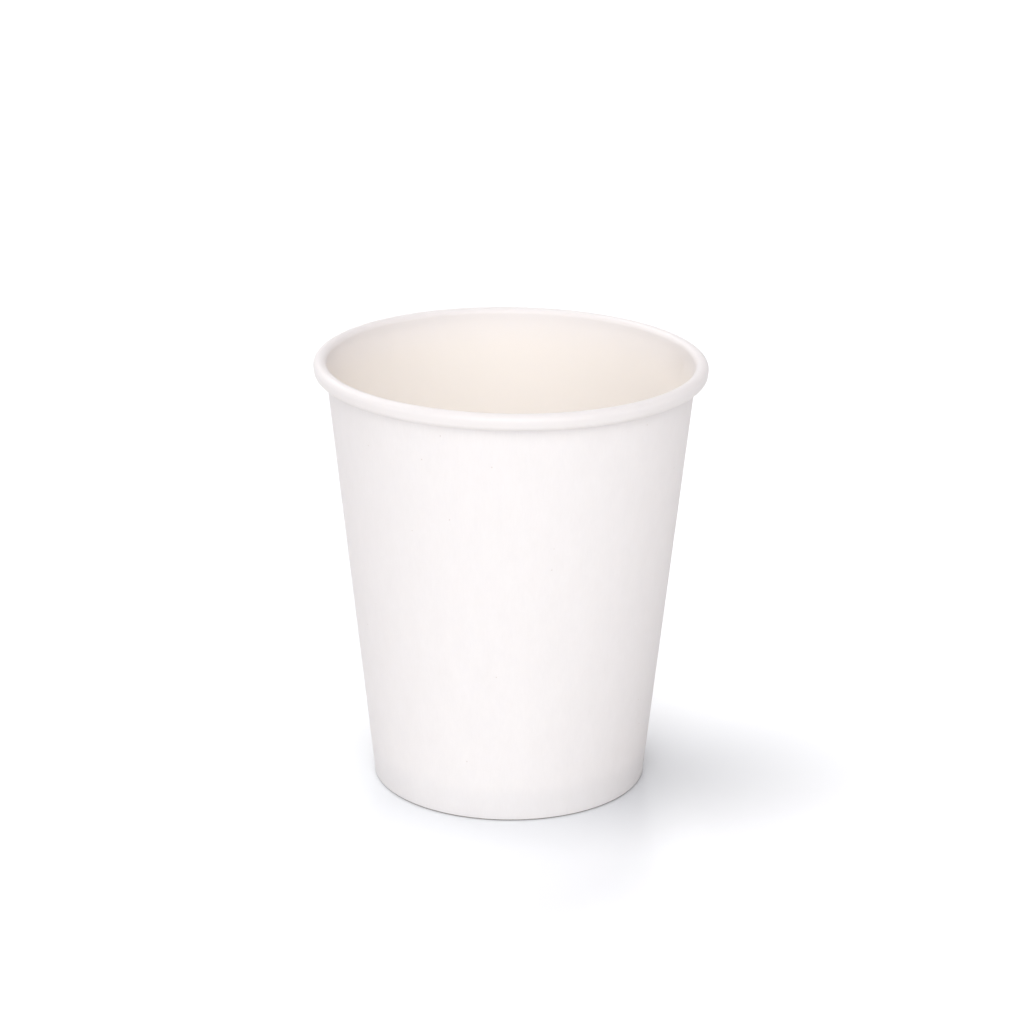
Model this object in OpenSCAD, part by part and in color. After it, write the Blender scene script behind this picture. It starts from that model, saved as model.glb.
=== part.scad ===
// Single-wall paper coffee cup of about a quarter of a litre.
// Two pieces of coated paperboard make it. The side wall is one fan-shaped blank: its ends lap at the
// side seam, its top edge is rolled outwards into the rim curl, and its bottom edge is folded in and up
// as a hem. The bottom disc is pressed from a second blank, with a turned-down skirt that the hem holds.
// Lengths are in millimetres and angles in degrees. The cup stands on z = 0 round the z axis.

/* [Cup] */
// Outside diameter over the rim curl
rim_d = 80; // [74:0.5:95]
// Height from the foot to the top of the rim curl
cup_h = 90; // [60:1:130]
// Outside diameter of the wall, carried down to the plane that the cup stands on
base_d = 56.5; // [48:0.5:62]

/* [Board] */
// Thickness of the side wall's board
board = 0.33; // [0.25:0.01:0.45]
// Thickness of the bottom disc's board
disc_board = 0.28; // [0.2:0.01:0.45]
// Clearance between two faces of board that are sealed together
seal_gap = 0.05; // [0.03:0.01:0.08]

/* [Rim curl] */
// Width of the curl, from the wall's inner face to the outermost point
curl_w = 2.7; // [2.4:0.1:3.6]
// Straight stretch at the curl's two sides, which makes it a little taller than it is wide
curl_flat = 0.8; // [0.2:0.1:1.5]
// Angle that the second turn goes on round, inside the first, before the raw edge
curl_tuck = 130; // [40:5:170]

/* [Side seam] */
// Angle round the cup over which the blank's two ends lap
lap_turn = 12; // [8:1:20]
// Angle over which the upper end steps down beside the lap
ease_turn = 16; // [12:1:24]
// Polar angle of the lap's outer raw edge, from the x axis towards the y axis
seam_at = 4; // [0:1:359]

/* [Foot] */
// Width of the flat ring that pressing leaves on the underside of the fold
foot_flat = 0.45; // [0.3:0.05:0.6]
// Depth of the hollow under the bottom disc
recess = 7; // [5:0.5:12]
// Radius of the bend between the bottom disc and its skirt, over the outside
shoulder_r = 0.9; // [0.6:0.1:1.5]
// How far the hem's raw edge stops short of the bottom disc
hem_short = 1; // [0.9:0.1:2]

/* [Hidden] */
$fn = 180;

base_r = base_d / 2;
rim_r = rim_d / 2;
far = cup_h + rim_d; // longer than anything that a cut has to clear

// The fold at the foot goes round the wall, the skirt and the hem
fold_r = (2 * board + disc_board + 2 * seal_gap) / 2;
press = fold_r - sqrt(pow(fold_r, 2) - pow(foot_flat / 2, 2));

// Outside radii of the curl's half turns: over the top, back underneath, and over again inside
over_r = curl_w / 2;
under_r = over_r - (board + seal_gap) / 2;
tuck_r = over_r - board - seal_gap;

// The wall leans out so that the curl ends at the rim's radius and at the cup's height.
// Seen from the wall's own foot, the curl's centre lies over_x across and over_y up the slope.
over_x = over_r - board;
run = rim_r - over_r - base_r;
rise = cup_h - over_r;
over_y = sqrt(pow(run, 2) + pow(rise, 2) - pow(over_x, 2));
lean = atan2(run, rise) - atan2(over_x, over_y);
under_y = over_y - curl_flat;

// Height up the slope of the fold's centre, and of a point at a stated height above the table
fold_y = (fold_r - press - fold_r * sin(lean)) / cos(lean);
function up_slope(x, z) = (z + x * sin(lean)) / cos(lean);

// The lap ends short of the fold below and of the curl above, so that neither is doubled
seam_low = 2 * fold_r + board;
seam_high = cup_h - over_r - curl_flat - under_r - board;
lap_end = seam_at + lap_turn;
ease_end = lap_end + ease_turn;
lap_lift = board + seal_gap;

// The step beside the lap is wall moved out by a seal and sideways by climb. That sideways move also
// carries it round by slip, and it runs on into the wall that it comes from by tie.
climb = board / sin(ease_turn);
slip = climb / base_r * 180 / PI;
tie = slip / 4;

// Bottom disc. Seen from the wall's own foot, its shoulder is centred bend_x across and bend_y up the
// slope, and its skirt hangs from there to the middle of the fold.
disc_top = recess + disc_board;
skirt_x = -board - seal_gap;
bend_x = skirt_x - shoulder_r;
bend_y = up_slope(bend_x, disc_top - shoulder_r);
bend_r = base_r + bend_x * cos(lean) + bend_y * sin(lean);
skirt_drop = bend_y - fold_y;
bend_share = 60; // angle that each of the shoulder's two bends covers
hem_x = skirt_x - disc_board - seal_gap;
hem_top = up_slope(hem_x, recess - hem_short);

// Places a drawing made in the wall's own frame: x across the board, y up the slope
module on_wall() {
    translate([base_r, 0]) rotate(-lean) children();
}

// Straight run of board up the slope, with its outer face at x
module run_of_board(x, thick, from, to) {
    translate([x - thick, from]) square([thick, to - from]);
}

// Bend in the board: part of a ring, between two directions up to half a turn apart
module bend_of_board(outer, thick, from, to) {
    reach = 2 * outer;
    mid = (from + to) / 2;
    intersection() {
        difference() {
            circle(r = outer);
            circle(r = outer - thick);
        }
        polygon([[0, 0], for (a = [from, mid, to]) reach * [cos(a), sin(a)]]);
    }
}

// Part of the half plane beside the axis that lies between two heights
module between(low, high) {
    translate([0, low]) square([far, high - low]);
}

// The whole rim curl, from the wall's edge round to the raw edge inside the roll
module curl_profile() {
    outside = 2 * over_r - board;
    translate([over_x, over_y]) bend_of_board(over_r, board, 0, 180);
    run_of_board(outside, board, under_y, over_y);
    translate([outside - under_r, under_y]) bend_of_board(under_r, board, 180, 360);
    run_of_board(seal_gap + board, board, under_y, over_y);
    translate([over_x, over_y]) bend_of_board(tuck_r, board, 180 - curl_tuck, 180);
}

// The fold under the skirt, and the hem that stands up inside it
module fold_profile() {
    translate([-fold_r, fold_y]) bend_of_board(fold_r, board, 180, 360);
    run_of_board(hem_x, board, fold_y, hem_top);
}

// The wall between two heights, moved out from its own place by a given amount
module wall_profile(low, high, out = 0) {
    intersection() {
        translate([out, 0]) on_wall() run_of_board(0, board, 0, over_y);
        between(low, high);
    }
}

// Top of the blank, above the lap: the curl, and the stretch of wall behind it
module head_profile() {
    on_wall() curl_profile();
    wall_profile(seam_high, far);
}

// Bottom of the blank, below the lap: the hem and its fold, pressed flat where the cup stands
module foot_profile() {
    intersection() {
        on_wall() run_of_board(0, board, fold_y, over_y);
        between(0, seam_low);
    }
    intersection() {
        on_wall() fold_profile();
        between(0, far);
    }
}

// The blank's upper end, which steps out over the lower end and lies on it
module lap() {
    low = seam_low + seal_gap;
    high = seam_high - seal_gap;
    translate(climb * [cos(ease_end - 90), sin(ease_end - 90)])
        rotate_extrude(angle = ease_turn + slip + tie, start = lap_end) wall_profile(low, high, seal_gap);
    rotate_extrude(angle = lap_turn, start = seam_at) wall_profile(low, high, lap_lift);
}

module side_wall() {
    color("whitesmoke") {
        rotate_extrude(angle = 360 - ease_turn, start = ease_end) {
            head_profile();
            wall_profile(seam_low, seam_high);
            foot_profile();
        }
        rotate_extrude(angle = ease_turn, start = lap_end) {
            head_profile();
            foot_profile();
        }
        lap();
    }
}

// Shoulder where the disc's board turns over and down, and the skirt that hangs from it. The shoulder's
// two bends lie on one circle and run into each other: one ends square to the disc, one to the skirt.
module skirt_profile() {
    bend_of_board(shoulder_r, disc_board, 90 - bend_share, 90);
    rotate(-lean) {
        bend_of_board(shoulder_r, disc_board, 0, bend_share);
        run_of_board(shoulder_r, disc_board, -skirt_drop, 0);
    }
}

// Flat disc, bent over at its edge into a skirt that lies against the wall's inner face
module bottom_disc() {
    color("linen") rotate_extrude() {
        translate([0, recess]) square([bend_r, disc_board]);
        translate([bend_r, disc_top - shoulder_r]) skirt_profile();
    }
}

side_wall();
bottom_disc();
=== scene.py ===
import math

import bpy
from mathutils import Matrix, Vector


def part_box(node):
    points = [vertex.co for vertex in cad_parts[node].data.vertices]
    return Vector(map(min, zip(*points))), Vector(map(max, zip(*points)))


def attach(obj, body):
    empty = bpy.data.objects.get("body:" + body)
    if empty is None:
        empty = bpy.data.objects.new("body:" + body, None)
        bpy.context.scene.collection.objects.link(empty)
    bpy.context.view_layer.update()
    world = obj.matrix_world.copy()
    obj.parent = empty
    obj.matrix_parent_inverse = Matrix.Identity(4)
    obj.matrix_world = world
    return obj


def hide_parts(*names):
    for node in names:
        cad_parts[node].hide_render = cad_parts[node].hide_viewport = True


# A paper coffee cup, made as the real one is: a side wall and a bottom disc, each a sheet of board
# that follows a drawn path and is turned round the cup's axis
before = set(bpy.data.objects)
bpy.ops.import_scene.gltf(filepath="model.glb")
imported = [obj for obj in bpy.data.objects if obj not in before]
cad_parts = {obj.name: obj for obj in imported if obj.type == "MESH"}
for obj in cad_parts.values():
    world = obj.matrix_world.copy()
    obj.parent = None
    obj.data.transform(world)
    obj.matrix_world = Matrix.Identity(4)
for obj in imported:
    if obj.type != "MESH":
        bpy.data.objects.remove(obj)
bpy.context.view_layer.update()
mm = 0.001  # every size below is in millimetres, every mesh in metres


def linearColour(hexCode):
    channels = [int(hexCode[i:i + 2], 16) / 255 for i in (1, 3, 5)]
    return [c / 12.92 if c <= 0.04045 else ((c + 0.055) / 1.055) ** 2.4 for c in channels] + [1.0]


def addNode(tree, kind, inputs=None, **settings):
    # An input is a plain value or, for a link, a pair of another node and its output
    node = tree.nodes.new(kind)
    for name, value in settings.items():
        setattr(node, name, value)
    for socket, value in (inputs or {}).items():
        if isinstance(value, tuple) and isinstance(value[0], bpy.types.Node):
            tree.links.new(value[0].outputs[value[1]], node.inputs[socket])
        else:
            node.inputs[socket].default_value = value
    return node


# The sockets of a Mix node go by number, because their names repeat for each type of value
floatA, floatB, colourA, colourB, colourOut = 2, 3, 6, 7, 2

# The camera comes from a pinhole fit to the cup's outline
camera = {
    "focalPixels": 3121.5,  # focal length on an image 1024 pixels wide
    "imagePixels": 1024,
    "sensorWidth": 36.0,
    "elevation": 19.01,  # degrees above the table
    "distance": 642.5,  # from the point looked at
    "targetX": 0.36,
    "targetZ": 56.62,
    "roll": 0.32,  # degrees
    "nearest": 10.0,  # nothing closer than this is drawn
    "farthest": 20000.0,
}


def placeCamera(c):
    data = bpy.data.cameras.new("photo_camera")
    data.sensor_width = c["sensorWidth"]
    data.lens = c["focalPixels"] * c["sensorWidth"] / c["imagePixels"]
    data.clip_start = c["nearest"] * mm
    data.clip_end = c["farthest"] * mm
    tilt = math.radians(c["elevation"])
    target = Vector((c["targetX"], 0, c["targetZ"])) * mm
    place = target + Vector((0, -math.cos(tilt), math.sin(tilt))) * c["distance"] * mm
    turned = Matrix.Rotation(math.pi / 2 - tilt, 4, "X") @ Matrix.Rotation(math.radians(c["roll"]), 4, "Z")
    seen = bpy.data.objects.new("photo_camera", data)
    seen.matrix_world = Matrix.Translation(place) @ turned
    bpy.context.scene.collection.objects.link(seen)
    bpy.context.scene.camera = seen


placeCamera(camera)
print("camera placed")

samePoint = 0.001  # points closer than this are one point


# Sections are drawn as the middle line of a board: each point is (x, y, a, b), where (a, b) points
# out of the board's outer face
def straightRun(start, end, stops):
    dx, dy = end[0] - start[0], end[1] - start[1]
    length = math.hypot(dx, dy)
    return [(start[0] + dx * t, start[1] + dy * t, dy / length, -dx / length) for t in stops]


def roundBend(centre, radius, fromAngle, toAngle, steps):
    side = 1 if toAngle > fromAngle else -1  # a bend that runs clockwise has the outer face inside
    points = []
    for i in range(steps + 1):
        a = math.radians(fromAngle + (toAngle - fromAngle) * i / steps)
        points.append((centre[0] + radius * math.cos(a), centre[1] + radius * math.sin(a),
                       side * math.cos(a), side * math.sin(a)))
    return points


def evenStops(count):
    return [i / count for i in range(count + 1)]


def withoutRepeats(points):
    kept = [points[0]]
    for p in points[1:]:
        if math.dist(p[:2], kept[-1][:2]) > samePoint:
            kept.append(p)
    return kept


# Side wall: one blank of board, lapped at the seam, rolled at the rim and folded at the foot
wall = {
    "baseRadius": 28.25,  # of the wall's outer face, carried down to the table
    "board": 0.33,
    "discBoard": 0.28,
    "sealGap": 0.05,
    "curlWidth": 2.7,
    "curlFlat": 0.8,
    "curlTuck": 130,  # degrees that the roll goes on inside its first turn
    "footFlat": 0.45,
    "recess": 7.0,
    "shoulderRadius": 0.9,
    "hemShort": 1.0,
    "lapTurn": 12.0,  # degrees
    "easeTurn": 16.0,  # degrees
    "seamAt": 4.0,  # degrees from +X towards +Y
    "lapFade": 1.2,  # height over which the lap runs out at its two ends
    "knurlCount": 90.0,  # ridges that the rolling wheel leaves round the hem
    "knurlDepth": 0.07,
    "knurlFade": 1.0,  # height over which the ridges run out above the fold
    "rimTilt": 0.45,  # degrees that this cup's rim leans down to the right
    "waveHeight": 0.05,  # softness of the board, as a gentle unevenness
    "waveSize": 22.0,
    "edgeRounding": 0.06,  # of the cut edges of the board
    "columns": 360,  # round the cup
    "wallRows": 26,
    "hemRows": 4,
    "foldSteps": 14,
    "overSteps": 24,
    "underSteps": 20,
    "tuckSteps": 12,
}
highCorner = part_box("side_wall")[1]
rimRadius = highCorner[0] / mm
cupHeight = highCorner[2] / mm


def wallNumbers(w):
    # Sizes that follow from those above. Names with X or Y are places in the wall's own leaning frame:
    # x out across the board from its outer face, y up the slope
    n = {}
    n["foldRadius"] = (2 * w["board"] + w["discBoard"] + 2 * w["sealGap"]) / 2
    n["press"] = n["foldRadius"] - math.sqrt(n["foldRadius"] ** 2 - (w["footFlat"] / 2) ** 2)
    n["overRadius"] = w["curlWidth"] / 2
    n["underRadius"] = n["overRadius"] - (w["board"] + w["sealGap"]) / 2
    n["tuckRadius"] = n["overRadius"] - w["board"] - w["sealGap"]
    n["overX"] = n["overRadius"] - w["board"]
    run = rimRadius - n["overRadius"] - w["baseRadius"]
    rise = cupHeight - n["overRadius"]
    n["overY"] = math.sqrt(run ** 2 + rise ** 2 - n["overX"] ** 2)
    n["lean"] = math.atan2(run, rise) - math.atan2(n["overX"], n["overY"])
    n["underY"] = n["overY"] - w["curlFlat"]
    slope = math.cos(n["lean"])
    n["foldY"] = (n["foldRadius"] * (1 - math.sin(n["lean"])) - n["press"]) / slope
    n["skirtX"] = -w["board"] - w["sealGap"]
    n["hemX"] = n["skirtX"] - w["discBoard"] - w["sealGap"]
    n["hemTop"] = (w["recess"] - w["hemShort"] + n["hemX"] * math.sin(n["lean"])) / slope
    n["seamLow"] = (2 * n["foldRadius"] + w["board"]) / slope
    n["seamHigh"] = (cupHeight - n["overRadius"] - w["curlFlat"] - n["underRadius"] - w["board"]) / slope
    n["discTop"] = w["recess"] + w["discBoard"]
    n["bendX"] = n["skirtX"] - w["shoulderRadius"]
    n["bendY"] = (n["discTop"] - w["shoulderRadius"] + n["bendX"] * math.sin(n["lean"])) / slope
    n["bendR"] = w["baseRadius"] + n["bendX"] * slope + n["bendY"] * math.sin(n["lean"])
    return n


form = wallNumbers(wall)


def fromWall(x, y):
    # From the wall's own leaning frame to a radius and a height
    lean = form["lean"]
    return (wall["baseRadius"] + x * math.cos(lean) + y * math.sin(lean),
            max(0.0, y * math.cos(lean) - x * math.sin(lean)))


def wallPath(w, n):
    half = w["board"] / 2
    hemMiddle = n["hemX"] - half
    curlEdge = 2 * n["overRadius"] - w["board"]
    over = (n["overX"], n["overY"])
    under = (curlEdge - n["underRadius"], n["underY"])
    low, high, fade = n["seamLow"], n["seamHigh"], w["lapFade"]
    heights = [n["foldY"], low, low + fade]
    heights += [low + fade + (high - low - 2 * fade) * t for t in evenStops(w["wallRows"])[1:]]
    heights += [high, n["overY"]]
    span = n["overY"] - n["foldY"]
    tuckIn = w["sealGap"] + half
    parts = [
        straightRun((hemMiddle, n["hemTop"]), (hemMiddle, n["foldY"]), evenStops(w["hemRows"])),
        roundBend((-n["foldRadius"], n["foldY"]), n["foldRadius"] - half, 180, 360, w["foldSteps"]),
        straightRun((-half, n["foldY"]), (-half, n["overY"]), [(y - n["foldY"]) / span for y in heights]),
        roundBend(over, n["overRadius"] - half, 180, 0, w["overSteps"]),
        roundBend(under, n["underRadius"] - half, 0, -180, w["underSteps"]),
        straightRun((tuckIn, n["underY"]), (tuckIn, n["overY"]), [0, 1]),
        roundBend(over, n["tuckRadius"] - half, 180, 180 - w["curlTuck"], w["tuckSteps"]),
    ]
    return withoutRepeats([p for part in parts for p in part])


def lapShare(x, y):
    # 1 on the wall's flat stretch, where the blank's two ends lap, and 0 on the curl and the foot
    if abs(x + wall["board"] / 2) > samePoint:
        return 0.0
    rising = (y - form["seamLow"]) / wall["lapFade"]
    falling = (form["seamHigh"] - y) / wall["lapFade"]
    return max(0.0, min(1.0, rising, falling))


def hemShare(x, y):
    # The hem stands inside the skirt, and its knurl runs out just above the fold
    inHem = x < form["hemX"] and y > form["foldY"]
    return min(1.0, (y - form["foldY"]) / wall["knurlFade"]) if inHem else 0.0


def noShare(x, y):
    # For board with neither lap nor knurl
    return 0.0


outerSide, coatedSide, cutSide = 0, 1, 2  # the three faces of a board, each with its material
edgeStops = (0.2, 0.5, 0.8)  # where points lie across a cut edge


def boardSection(path, sheet, toCup, lap=noShare, knurl=noShare, closed=False):
    # Outline of the board round its middle line, with softened cut edges. Each row holds its radius and
    # height, its shares of the lap outside and inside and of the knurl, and the face that follows it.
    half = sheet["board"] / 2
    outer = [(p[0] + half * p[2], p[1] + half * p[3]) for p in path]
    coated = [(p[0] - half * p[2], p[1] - half * p[3]) for p in path]

    def cutEdge(fromPoint, toPoint, ahead):
        # The end of the board, pushed out a little between its two corners
        points = []
        for t in edgeStops:
            bulge = sheet["edgeRounding"] * (1 - (2 * t - 1) ** 2)
            points.append((fromPoint[0] + (toPoint[0] - fromPoint[0]) * t + ahead[0] * bulge,
                           fromPoint[1] + (toPoint[1] - fromPoint[1]) * t + ahead[1] * bulge))
        return points

    last, first = path[-1], path[0]
    rows = [(toCup(*outer[i]), lap(*p[:2]), 0.0, knurl(*p[:2]), outerSide) for i, p in enumerate(path)]
    rows[-1] = rows[-1][:4] + (cutSide,)
    endEdge = cutEdge(outer[-1], coated[-1], (-last[3], last[2]))
    rows += [(toCup(*p), 0.0, 0.0, 0.0, cutSide) for p in endEdge]
    backwards = reversed(list(enumerate(path)))
    rows += [(toCup(*coated[i]), 0.0, lap(*p[:2]), 0.0, coatedSide) for i, p in backwards]
    if closed:
        rows[-1] = rows[-1][:4] + (cutSide,)
        startEdge = cutEdge(coated[0], outer[0], (first[3], -first[2]))
        rows += [(toCup(*p), 0.0, 0.0, knurl(*first[:2]), cutSide) for p in startEdge]
        rows.append(rows[0])
    return rows


def sectionObject(name, rows):
    mesh = bpy.data.meshes.new(name)
    mesh.from_pydata([(r[0][0] * mm, 0, r[0][1] * mm) for r in rows], [], [])
    for attribute, kind, column in (("lapOutside", "FLOAT", 1), ("lapInside", "FLOAT", 2),
                                    ("knurl", "FLOAT", 3), ("boardFace", "INT", 4)):
        values = mesh.attributes.new(attribute, kind, "POINT").data
        values.foreach_set("value", [r[column] for r in rows])
    made = bpy.data.objects.new(name, mesh)
    bpy.context.scene.collection.objects.link(made)
    return made


# The tree's sums, one to a line: its name, what is done, and to which values
boardSums = (
    # Each raw edge of the lap has two columns at one angle, and the last column repeats the first
    ("gridColumns", "ADD", "Columns", 3),
    ("row", "FLOORED_MODULO", "index", "Rows"),
    ("midIndex", "ADD", "index", 0.5),
    ("exactColumn", "DIVIDE", "midIndex", "Rows"),
    ("column", "FLOOR", "exactColumn"),
    ("step", "DIVIDE", 360, "Columns"),
    ("lapSteps", "DIVIDE", "Lap Turn", "step"),
    ("lapColumn", "ROUND", "lapSteps"),
    ("pastInside", "GREATER_THAN", "column", "lapColumn"),
    ("beforeLast", "ADD", "Columns", 1.5),
    ("isLast", "GREATER_THAN", "column", "beforeLast"),
    ("onceLess", "SUBTRACT", "column", "pastInside"),
    ("turnSteps", "SUBTRACT", "onceLess", "isLast"),
    ("turn", "MULTIPLY", "turnSteps", "step"),
    # The lap lies at its full lift as far as its inner raw edge, then eases down to the wall
    ("easeEnd", "ADD", "Lap Turn", "Ease Turn"),
    ("liftOutside", "MAXIMUM", "eased", "isLast"),
    ("easedInside", "MULTIPLY", "eased", "pastInside"),
    ("notLast", "SUBTRACT", 1, "isLast"),
    ("liftInside", "MULTIPLY", "easedInside", "notLast"),
    ("outsideShare", "MULTIPLY", "lapOutside", "liftOutside"),
    ("insideShare", "MULTIPLY", "lapInside", "liftInside"),
    ("liftShare", "ADD", "outsideShare", "insideShare"),
    ("lift", "MULTIPLY", "liftShare", "Lap Lift"),
    # The knurl is a row of shallow grooves
    ("turnRadians", "RADIANS", "turn"),
    ("knurlPhase", "MULTIPLY", "turnRadians", "Knurl Count"),
    ("ridge", "COSINE", "knurlPhase"),
    ("groove", "MULTIPLY_ADD", "ridge", -0.5, 0.5),
    ("grooveDepth", "MULTIPLY", "groove", "Knurl Depth"),
    ("pressedIn", "MULTIPLY", "grooveDepth", "knurl"),
    # Board is never quite true: a slow noise moves it in and out, five times as much at the rim as
    # at the foot
    ("degrees", "ADD", "turn", "Seam At"),
    ("angle", "RADIANS", "degrees"),
    ("along", "COSINE", "angle"),
    ("across", "SINE", "angle"),
    ("up", "DIVIDE", "sectionZ", "Cup Height"),
    ("noiseX", "MULTIPLY", "along", "sectionX"),
    ("noiseY", "MULTIPLY", "across", "sectionX"),
    ("evenNoise", "SUBTRACT", "noise", 0.5),
    ("fullWave", "MULTIPLY", "evenNoise", "Wave Height"),
    ("waveShare", "MULTIPLY_ADD", "up", 0.8, 0.2),
    ("wave", "MULTIPLY", "fullWave", "waveShare"),
    ("lifted", "ADD", "sectionX", "lift"),
    ("knurled", "SUBTRACT", "lifted", "pressedIn"),
    ("radius", "ADD", "knurled", "wave"),
    # The rim leans down to the right, and nowhere rises above its true height
    ("x", "MULTIPLY", "along", "radius"),
    ("y", "MULTIPLY", "across", "radius"),
    ("fromLeft", "ADD", "x", "radius"),
    ("rimDrop", "MULTIPLY", "fromLeft", "Rim Slope"),
    ("drop", "MULTIPLY", "rimDrop", "up"),
    ("z", "SUBTRACT", "sectionZ", "drop"),
    # A face takes its side of the board from the row that it starts at
    ("faceRows", "SUBTRACT", "Rows", 1),
    ("faceRow", "FLOORED_MODULO", "index", "faceRows"),
)


def turnedBoardTree(sums):
    # Geometry Nodes: a grid whose rows follow a section and whose columns go round the cup's axis
    tree = bpy.data.node_groups.new("Board turned round the axis", "GeometryNodeTree")
    sockets = (
        ("Section", "NodeSocketGeometry", None), ("Columns", "NodeSocketInt", 360),
        ("Rows", "NodeSocketInt", 100), ("Seam At", "NodeSocketFloat", 0.0),
        ("Lap Turn", "NodeSocketFloat", 12.0), ("Ease Turn", "NodeSocketFloat", 16.0),
        ("Lap Lift", "NodeSocketFloat", 0.0), ("Knurl Depth", "NodeSocketFloat", 0.0),
        ("Knurl Count", "NodeSocketFloat", 90.0), ("Rim Slope", "NodeSocketFloat", 0.0),
        ("Cup Height", "NodeSocketFloat", 0.09), ("Wave Height", "NodeSocketFloat", 0.0),
        ("Wave Scale", "NodeSocketFloat", 50.0), ("Outer Face", "NodeSocketMaterial", None),
        ("Coated Face", "NodeSocketMaterial", None), ("Cut Edge", "NodeSocketMaterial", None),
    )
    for name, kind, value in sockets:
        socket = tree.interface.new_socket(name, in_out="INPUT", socket_type=kind)
        if value is not None:
            socket.default_value = value
    tree.interface.new_socket("Board", in_out="OUTPUT", socket_type="NodeSocketGeometry")
    given = addNode(tree, "NodeGroupInput")
    known = {name: given.outputs[name] for name, kind, value in sockets}
    known["index"] = addNode(tree, "GeometryNodeInputIndex").outputs[0]

    # What the section holds, read at the row of each corner or face of the grid
    sampled = {}
    for name, kind in (("lapOutside", "FLOAT"), ("lapInside", "FLOAT"), ("knurl", "FLOAT"),
                       ("position", "FLOAT_VECTOR"), ("boardFace", "INT")):
        stored = addNode(tree, "GeometryNodeInputNamedAttribute", {"Name": name}, data_type=kind)
        sampled[name] = addNode(tree, "GeometryNodeSampleIndex", {
            "Geometry": (given, "Section"), "Value": (stored, 0)}, data_type=kind, domain="POINT")
        known[name] = sampled[name].outputs["Value"]
    place = addNode(tree, "ShaderNodeSeparateXYZ", {0: (sampled["position"], "Value")})
    known["sectionX"], known["sectionZ"] = place.outputs["X"], place.outputs["Z"]

    grid = addNode(tree, "GeometryNodeMeshGrid")
    eased = addNode(tree, "ShaderNodeMapRange", {
        "From Min": (given, "Lap Turn"), "To Min": 1.0, "To Max": 0.0}, interpolation_type="SMOOTHSTEP")
    noiseAt = addNode(tree, "ShaderNodeCombineXYZ")
    noise = addNode(tree, "ShaderNodeTexNoise", {
        "Vector": (noiseAt, 0), "Scale": (given, "Wave Scale"), "Detail": 1.0, "Roughness": 0.4})
    there = addNode(tree, "ShaderNodeCombineXYZ")
    known["eased"], known["noise"] = eased.outputs[0], noise.outputs[0]

    for name, operation, *terms in sums:
        worked = addNode(tree, "ShaderNodeMath", operation=operation)
        for i, term in enumerate(terms):
            if isinstance(term, str):
                tree.links.new(known[term], worked.inputs[i])
            else:
                worked.inputs[i].default_value = term
        known[name] = worked.outputs[0]

    for name, node, socket in (
            ("gridColumns", grid, "Vertices X"), ("Rows", grid, "Vertices Y"),
            ("turn", eased, "Value"), ("easeEnd", eased, "From Max"),
            ("noiseX", noiseAt, "X"), ("noiseY", noiseAt, "Y"), ("sectionZ", noiseAt, "Z"),
            ("x", there, "X"), ("y", there, "Y"), ("z", there, "Z")):
        tree.links.new(known[name], node.inputs[socket])
    for name, node in sampled.items():
        tree.links.new(known["faceRow" if name == "boardFace" else "row"], node.inputs["Index"])

    # Faces keep the side of the board that they belong to, for their material
    moved = addNode(tree, "GeometryNodeSetPosition", {"Geometry": (grid, "Mesh"), "Position": (there, 0)})
    sided = addNode(tree, "GeometryNodeStoreNamedAttribute", {
        "Name": "boardFace", "Geometry": (moved, 0), "Value": (sampled["boardFace"], "Value")},
        data_type="INT", domain="FACE")
    merged = addNode(tree, "GeometryNodeMergeByDistance", {
        "Geometry": (sided, 0), "Distance": samePoint * mm})
    smooth = addNode(tree, "GeometryNodeSetShadeSmooth", {0: (merged, 0)})
    shown = addNode(tree, "GeometryNodeRealizeInstances", {"Geometry": (smooth, 0)})
    for number, name in ((outerSide, "Outer Face"), (coatedSide, "Coated Face"), (cutSide, "Cut Edge")):
        faceOf = addNode(tree, "GeometryNodeInputNamedAttribute", {"Name": "boardFace"}, data_type="INT")
        same = addNode(tree, "FunctionNodeCompare", data_type="INT", operation="EQUAL")
        wholeNumbers = [s for s in same.inputs if s.type == "INT"]
        tree.links.new(faceOf.outputs[0], wholeNumbers[0])
        wholeNumbers[1].default_value = number
        shown = addNode(tree, "GeometryNodeSetMaterial", {
            "Geometry": (shown, 0), "Selection": (same, 0), "Material": (given, name)})
    addNode(tree, "NodeGroupOutput", {"Board": (shown, 0)})
    return tree


def turnBoard(name, rows, tree, inputs, sharpAngle=32):
    # Runs the tree on a section, and keeps the result as a plain mesh with faces that point outwards.
    # An edge that bends by more than sharpAngle degrees stays sharp.
    section = sectionObject(name + "_section", rows)
    modifier = section.modifiers.new("turned", "NODES")
    modifier.node_group = tree
    identifiers = {s.name: s.identifier for s in tree.interface.items_tree if s.in_out == "INPUT"}
    for socket, value in dict(inputs, Rows=len(rows)).items():
        modifier[identifiers[socket]] = value
    bpy.context.view_layer.update()
    mesh = bpy.data.meshes.new_from_object(section.evaluated_get(bpy.context.evaluated_depsgraph_get()))
    bpy.data.objects.remove(section)
    mesh.name = name
    made = bpy.data.objects.new(name, mesh)
    bpy.context.scene.collection.objects.link(made)
    volume = 0.0
    for t in mesh.loop_triangles:
        a, b, c = (mesh.vertices[v].co for v in t.vertices)
        volume += a.dot(b.cross(c)) / 6
    if volume < 0:
        mesh.flip_normals()
    mesh.set_sharp_from_angle(angle=math.radians(sharpAngle))
    print(name, "has", len(mesh.polygons), "faces and holds", round(abs(volume) / mm ** 3, 1), "cubic mm")
    return made


def startMaterial(name):
    material = bpy.data.materials.new(name)
    material.use_nodes = True
    tree = material.node_tree
    shader = tree.nodes["Principled BSDF"]
    return material, tree, shader


def perMetre(size):
    return 1 / mm / size  # scale of a pattern whose features come at this real spacing


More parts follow.
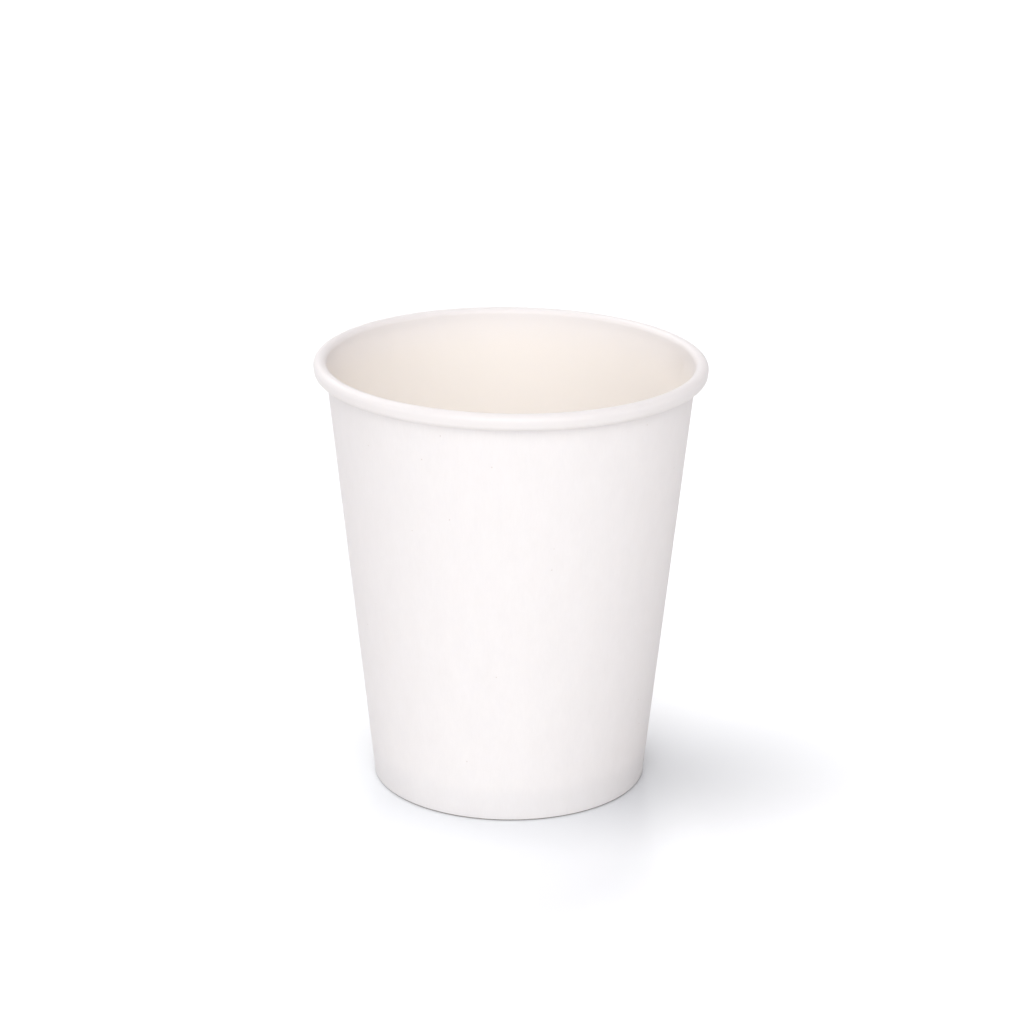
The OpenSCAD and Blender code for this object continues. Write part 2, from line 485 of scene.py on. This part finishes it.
def stretchedPlace(tree, sizes):
    # Object coordinates divided by a real feature size along each axis
    place = addNode(tree, "ShaderNodeTexCoord")
    return addNode(tree, "ShaderNodeMapping", {
        "Vector": (place, "Object"), "Scale": [perMetre(s) for s in sizes]})


# Light enters the pulp and comes out again close by, so creases and edges look soft
pulp = {"share": 0.4, "reach": (1.0, 0.96, 0.9), "depth": 0.7}


def letLightIn(shader, p):
    shader.inputs["Subsurface Weight"].default_value = p["share"]
    shader.inputs["Subsurface Radius"].default_value = p["reach"]
    shader.inputs["Subsurface Scale"].default_value = p["depth"] * mm


# Bleached board, calendered but uncoated: a matt, faintly warm white. Long fibres lie up the cup and
# give it a fine upright grain, and uneven pulp gives a cloudy mottle a few millimetres across. Fibres
# are about 0.03 mm wide, too fine to show, so the grain is drawn ten times as coarse.
outerBoard = {
    "pale": "#F7F6F6", "dark": "#F3F2F2", "roughness": 0.62, "ior": 1.46,
    "grain": (0.32, 0.32, 2.6), "mottle": (3.2, 3.2, 7.0),  # spacing along X, Y and Z
    "mottleShare": 0.5, "contrast": (0.3, 0.7),  # the pattern's values that come out dark and pale
    "fibre": 0.22, "reliefDepth": 0.02, "relief": 0.5,
    # A few flecks of bark that the bleach has left, with a soft edge
    "fleck": "#CFC6BE", "fleckSpacing": 5.0, "fleckRadius": 0.09, "fleckFade": 0.15, "fleckShare": 0.6,
    "footCreaseShade": "#6C6560", "creaseShadeFullUpTo": 0.14, "creaseShadeGoneFrom": 0.34,  # painted shade: heights of the grey crease at the foot, where the fold meets the table
}


def boardMaterial(name, m):
    material, tree, shader = startMaterial(name)
    shader.inputs["Roughness"].default_value = m["roughness"]
    shader.inputs["IOR"].default_value = m["ior"]
    letLightIn(shader, pulp)
    grain = addNode(tree, "ShaderNodeTexNoise", {
        "Vector": (stretchedPlace(tree, m["grain"]), 0), "Scale": 1.0, "Detail": 2.0, "Roughness": 0.6})
    mottle = addNode(tree, "ShaderNodeTexNoise", {
        "Vector": (stretchedPlace(tree, m["mottle"]), 0), "Scale": 1.0, "Detail": 3.0, "Roughness": 0.55})
    both = addNode(tree, "ShaderNodeMix", {
        "Factor": m["mottleShare"], floatA: (grain, 0), floatB: (mottle, 0)})
    spread = addNode(tree, "ShaderNodeMapRange", {
        "Value": (both, 0), "From Min": m["contrast"][0], "From Max": m["contrast"][1]})
    tone = addNode(tree, "ShaderNodeMix", {
        "Factor": (spread, 0), colourA: linearColour(m["dark"]), colourB: linearColour(m["pale"])},
        data_type="RGBA")
    cells = addNode(tree, "ShaderNodeTexVoronoi", {
        "Vector": (stretchedPlace(tree, [m["fleckSpacing"]] * 3), 0), "Scale": 1.0, "Randomness": 1.0})
    fleck = addNode(tree, "ShaderNodeMapRange", {
        "Value": (cells, "Distance"), "From Min": m["fleckRadius"] / m["fleckSpacing"],
        "From Max": m["fleckFade"] / m["fleckSpacing"], "To Min": m["fleckShare"], "To Max": 0.0})
    flecked = addNode(tree, "ShaderNodeMix", {
        "Factor": (fleck, 0), colourA: (tone, colourOut), colourB: linearColour(m["fleck"])},
        data_type="RGBA")
    place = addNode(tree, "ShaderNodeTexCoord")
    height = addNode(tree, "ShaderNodeSeparateXYZ", {0: (place, "Object")})
    # Painted shade: the crease at the foot, where the fold meets the table, is coloured grey
    footCreaseShade = addNode(tree, "ShaderNodeMapRange", {
        "Value": (height, "Z"), "From Min": m["creaseShadeFullUpTo"] * mm, "From Max": m["creaseShadeGoneFrom"] * mm,
        "To Min": 1.0, "To Max": 0.0})
    creaseShaded = addNode(tree, "ShaderNodeMix", {
        "Factor": (footCreaseShade, 0), colourA: (flecked, colourOut), colourB: linearColour(m["footCreaseShade"])},
        data_type="RGBA")
    fibre = addNode(tree, "ShaderNodeTexNoise", {
        "Vector": (stretchedPlace(tree, [m["fibre"]] * 3), 0), "Scale": 1.0, "Detail": 2.0,
        "Roughness": 0.6})
    relief = addNode(tree, "ShaderNodeMath", {0: (grain, 0), 1: (fibre, 0)}, operation="ADD")
    bump = addNode(tree, "ShaderNodeBump", {
        "Height": (relief, 0), "Strength": m["relief"], "Distance": m["reliefDepth"] * mm})
    tree.links.new(creaseShaded.outputs[colourOut], shader.inputs["Base Color"])
    tree.links.new(bump.outputs[0], shader.inputs["Normal"])
    return material


# Board under a film of polyethylene, extruded on hot: smoother than the bare board, with a dull satin
# sheen. The film is clear with a cream cast. Painted light: the cream is made warmest down in the cup, for
# the warm light that bounces round inside it, and the curl is a less warm, slightly darker white.
# It has the slight unevenness of orange peel, and the fibres under it are drawn as coarse as the grain.
coatedBoard = {
    "cream": "#FFFAF3", "rimWhite": "#F9F6F5", "roughness": 0.42, "ior": 1.5,
    "creamBelow": 80.0, "whiteAbove": 90.0,
    "orangePeel": 1.1, "fibre": (0.35, 0.35, 1.4), "reliefDepth": 0.012, "relief": 0.4,
}


def coatedMaterial(name, m):
    material, tree, shader = startMaterial(name)
    shader.inputs["Roughness"].default_value = m["roughness"]
    shader.inputs["IOR"].default_value = m["ior"]
    letLightIn(shader, pulp)
    place = addNode(tree, "ShaderNodeTexCoord")
    height = addNode(tree, "ShaderNodeSeparateXYZ", {0: (place, "Object")})
    # Painted light: the warmer cream below the curl stands in for the warm light bounced round inside the
    # cup
    rise = addNode(tree, "ShaderNodeMapRange", {
        "Value": (height, "Z"), "From Min": m["creamBelow"] * mm, "From Max": m["whiteAbove"] * mm},
        interpolation_type="SMOOTHSTEP")
    tone = addNode(tree, "ShaderNodeMix", {
        "Factor": (rise, 0), colourA: linearColour(m["cream"]), colourB: linearColour(m["rimWhite"])},
        data_type="RGBA")
    peel = addNode(tree, "ShaderNodeTexNoise", {
        "Vector": (stretchedPlace(tree, [m["orangePeel"]] * 3), 0), "Scale": 1.0, "Detail": 1.0})
    fibre = addNode(tree, "ShaderNodeTexNoise", {
        "Vector": (stretchedPlace(tree, m["fibre"]), 0), "Scale": 1.0, "Detail": 2.0})
    relief = addNode(tree, "ShaderNodeMath", {0: (peel, 0), 1: (fibre, 0)}, operation="ADD")
    bump = addNode(tree, "ShaderNodeBump", {
        "Height": (relief, 0), "Strength": m["relief"], "Distance": m["reliefDepth"] * mm})
    tree.links.new(tone.outputs[colourOut], shader.inputs["Base Color"])
    tree.links.new(bump.outputs[0], shader.inputs["Normal"])
    return material


# The cut edge shows the pulp between the faces: rougher, a touch darker and speckled with fibre ends,
# which are drawn three times as coarse as they are
cutEdge = {
    "pale": "#EFE9E2", "dark": "#DDD4C9", "roughness": 0.85,
    "fibreEnd": 0.09, "reliefDepth": 0.03, "relief": 0.6,
}


def cutEdgeMaterial(name, m):
    material, tree, shader = startMaterial(name)
    shader.inputs["Roughness"].default_value = m["roughness"]
    ends = addNode(tree, "ShaderNodeTexNoise", {
        "Vector": (stretchedPlace(tree, [m["fibreEnd"]] * 3), 0), "Scale": 1.0, "Detail": 2.0})
    tone = addNode(tree, "ShaderNodeMix", {
        "Factor": (ends, 0), colourA: linearColour(m["dark"]), colourB: linearColour(m["pale"])},
        data_type="RGBA")
    bump = addNode(tree, "ShaderNodeBump", {
        "Height": (ends, 0), "Strength": m["relief"], "Distance": m["reliefDepth"] * mm})
    tree.links.new(tone.outputs[colourOut], shader.inputs["Base Color"])
    tree.links.new(bump.outputs[0], shader.inputs["Normal"])
    return material


outerFace = boardMaterial("bleached_uncoated_board", outerBoard)
coatedFace = coatedMaterial("film_coated_board", coatedBoard)
rawEdge = cutEdgeMaterial("cut_board_edge", cutEdge)
turnedBoard = turnedBoardTree(boardSums)
print("materials and the turning tree made")

wallSection = boardSection(wallPath(wall, form), wall, fromWall, lapShare, hemShare, closed=True)
sideWall = turnBoard("cup_side_wall", wallSection, turnedBoard, {
    "Columns": wall["columns"],
    "Seam At": wall["seamAt"],
    "Lap Turn": wall["lapTurn"],
    "Ease Turn": wall["easeTurn"],
    "Lap Lift": (wall["board"] + wall["sealGap"]) * mm,
    "Knurl Depth": wall["knurlDepth"] * mm,
    "Knurl Count": wall["knurlCount"],
    "Rim Slope": math.tan(math.radians(wall["rimTilt"])),
    "Cup Height": cupHeight * mm,
    "Wave Height": wall["waveHeight"] * mm,
    "Wave Scale": perMetre(wall["waveSize"]),
    "Outer Face": outerFace,
    "Coated Face": coatedFace,
    "Cut Edge": rawEdge,
})
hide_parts("side_wall")
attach(sideWall, "root")
print("side wall made")

# Bottom disc: coated board pressed into a dish, with its skirt held by the hem
disc = {
    "board": wall["discBoard"],
    "dome": 0.18,  # the press leaves the middle a little high
    "edgeRounding": 0.05,
    "waveHeight": 0.25,
    "waveSize": 14.0,
    "columns": 180,
    "flatRings": 14,
    "shoulderSteps": 12,
    "skirtRows": 3,
}


def discPath(d, w, n):
    half = d["board"] / 2
    flatEnd, lean = n["bendR"], n["lean"]
    shoulder = (flatEnd, n["discTop"] - w["shoulderRadius"])
    middle = n["discTop"] - half
    flat = straightRun((0, middle), (flatEnd, middle), evenStops(d["flatRings"]))
    path = [(r, z + d["dome"] * (1 - (r / flatEnd) ** 2) ** 2, 0.0, -1.0) for r, z, *_ in flat]
    bend = roundBend(shoulder, w["shoulderRadius"] - half, 90, -math.degrees(lean), d["shoulderSteps"])
    end, drop = bend[-1], n["bendY"] - n["foldY"]
    foot = (end[0] - drop * math.sin(lean), end[1] - drop * math.cos(lean))
    skirt = straightRun(end[:2], foot, evenStops(d["skirtRows"]))
    return withoutRepeats(path + bend + skirt)


def asDrawn(r, z):
    # The disc's path is in radius and height from the start
    return (r, z)


discSection = boardSection(discPath(disc, wall, form), disc, asDrawn)
bottomDisc = turnBoard("cup_bottom_disc", discSection, turnedBoard, {
    "Columns": disc["columns"],
    "Cup Height": cupHeight * mm,
    "Wave Height": disc["waveHeight"] * mm,
    "Wave Scale": perMetre(disc["waveSize"]),
    "Outer Face": coatedFace,
    "Coated Face": coatedFace,
    "Cut Edge": rawEdge,
})
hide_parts("bottom_disc")
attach(bottomDisc, "root")
print("bottom disc made")

# A plain white table. Light Path shows it white to the eye, while it still takes the cup's shadow and
# bounces light. Painted shade: to the eye it is a greyer colour round the foot and on the shaded side,
# and it bounces light onto the cup from a darker colour on the shaded side.
table = {
    "radius": 3000.0, "corners": 64, "drop": 0.01,  # it lies just clear of the foot
    "seen": "#E2E6E9", "paintedFootShade": "#CFD3D7", "bounced": "#EDEDED", "shaded": "#B6B6B6",
    "roughness": 0.2, "ior": 1.4,  # just smooth enough to hold a faint reflection of the cup
    "glow": 0.38,  # the white grows away from the shaded side, leaving a painted shadow there
    # Two soft zones of painted shade, round the foot and on the shaded side: how far right and in front of
    # the cup's axis, how flat, where 1 is round, and how far from its middle each begins and ends
    "footShadeZone": {"right": 0.0, "front": 30.0, "flat": 0.6, "begins": 23.0, "ends": 39.0},
    "shadedSide": {"right": 16.0, "front": 0.0, "flat": 1.79, "begins": 4.0, "ends": 89.0},
}


def layTable(t):
    ring = []
    for i in range(t["corners"]):
        a = 2 * math.pi * i / t["corners"]
        ring.append((t["radius"] * mm * math.cos(a), t["radius"] * mm * math.sin(a), -t["drop"] * mm))
    mesh = bpy.data.meshes.new("table_top")
    mesh.from_pydata(ring, [], [list(range(t["corners"]))])
    top = bpy.data.objects.new("table_top", mesh)
    bpy.context.scene.collection.objects.link(top)
    material, tree, shader = startMaterial("white_laminate")
    shader.inputs["Roughness"].default_value = t["roughness"]
    shader.inputs["IOR"].default_value = t["ior"]
    path = addNode(tree, "ShaderNodeLightPath")
    seen = addNode(tree, "ShaderNodeMath", {0: (path, "Is Camera Ray"), 1: (path, "Is Glossy Ray")},
                   operation="MAXIMUM")
    place = addNode(tree, "ShaderNodeTexCoord")

    def outside(zone):
        # 0 in the middle of a zone of the table and 1 beyond it
        moved = addNode(tree, "ShaderNodeMapping", {
            "Vector": (place, "Object"), "Scale": (1, zone["flat"], 1),
            "Location": (-zone["right"] * mm, zone["front"] * zone["flat"] * mm, 0)})
        away = addNode(tree, "ShaderNodeVectorMath", {0: (moved, 0)}, operation="LENGTH")
        return addNode(tree, "ShaderNodeMapRange", {
            "Value": (away, "Value"), "From Min": zone["begins"] * mm, "From Max": zone["ends"] * mm},
            interpolation_type="SMOOTHSTEP")

    pastFootShade, pastShade = outside(t["footShadeZone"]), outside(t["shadedSide"])
    # Painted shade: to the eye the table is a greyer colour round the foot
    shown = addNode(tree, "ShaderNodeMix", {
        "Factor": (pastFootShade, 0), colourA: linearColour(t["paintedFootShade"]), colourB: linearColour(t["seen"])},
        data_type="RGBA")
    # Painted shade: on the shaded side the table bounces light from a darker colour
    bounced = addNode(tree, "ShaderNodeMix", {
        "Factor": (pastShade, 0), colourA: linearColour(t["shaded"]), colourB: linearColour(t["bounced"])},
        data_type="RGBA")
    colour = addNode(tree, "ShaderNodeMix", {
        "Factor": (seen, 0), colourA: (bounced, colourOut), colourB: (shown, colourOut)}, data_type="RGBA")
    # The white glow fades towards the shaded side, so that side keeps a painted shadow
    grown = addNode(tree, "ShaderNodeMath", {0: (pastShade, 0), 1: t["glow"]}, operation="MULTIPLY")
    strength = addNode(tree, "ShaderNodeMath", {0: (seen, 0), 1: (grown, 0)}, operation="MULTIPLY")
    shader.inputs["Emission Color"].default_value = (1, 1, 1, 1)
    tree.links.new(colour.outputs[colourOut], shader.inputs["Base Color"])
    tree.links.new(strength.outputs[0], shader.inputs["Emission Strength"])
    mesh.materials.append(material)


layTable(table)

# Soft studio light: suns with wide discs, so that the table is lit evenly to its edge. The azimuth is
# where a lamp stands, from +X towards +Y, and the photograph is taken from 270.
lamps = (
    {"name": "front", "azimuth": 270, "elevation": 40, "strength": 1.04},
    {"name": "front_low", "azimuth": 270, "elevation": 15, "strength": 0.53},
    {"name": "left_low", "azimuth": 225, "elevation": 15, "strength": 0.2},
    {"name": "left_back", "azimuth": 130, "elevation": 40, "strength": 0.74},
)
studio = {"lampSpread": 40, "lampColour": "#FFFFFF", "roomStrength": 0.52, "roomColour": "#FFF6F7"}


def hangLamp(lamp, s):
    data = bpy.data.lights.new(lamp["name"], "SUN")
    data.energy = lamp["strength"]
    data.angle = math.radians(s["lampSpread"])
    data.color = linearColour(s["lampColour"])[:3]
    a, e = math.radians(lamp["azimuth"]), math.radians(lamp["elevation"])
    towards = Vector((math.cos(a) * math.cos(e), math.sin(a) * math.cos(e), math.sin(e)))
    hung = bpy.data.objects.new(lamp["name"], data)
    hung.rotation_euler = towards.to_track_quat("Z", "Y").to_euler()
    hung.location = towards
    bpy.context.scene.collection.objects.link(hung)


def lightRoom(s):
    # The room is plain white to the eye, in reflections and through clear things, and its own colour
    # lights the cup softly
    world = bpy.data.worlds.new("white_room")
    world.use_nodes = True
    tree = world.node_tree
    room = tree.nodes["Background"]
    room.inputs["Color"].default_value = linearColour(s["roomColour"])
    room.inputs["Strength"].default_value = s["roomStrength"]
    path = addNode(tree, "ShaderNodeLightPath")
    direct = addNode(tree, "ShaderNodeMath", {0: (path, "Is Camera Ray"), 1: (path, "Is Glossy Ray")},
                     operation="MAXIMUM")
    seen = addNode(tree, "ShaderNodeMath", {0: (direct, 0), 1: (path, "Is Transmission Ray")},
                   operation="MAXIMUM")
    white = addNode(tree, "ShaderNodeBackground", {"Color": (1, 1, 1, 1), "Strength": 1.0})
    both = addNode(tree, "ShaderNodeMixShader", {0: (seen, 0), 1: (room, 0), 2: (white, 0)})
    tree.links.new(both.outputs[0], tree.nodes["World Output"].inputs["Surface"])
    bpy.context.scene.world = world


for lamp in lamps:
    hangLamp(lamp, studio)
lightRoom(studio)
bpy.context.scene.view_settings.view_transform = "Standard"
print("table and light made")
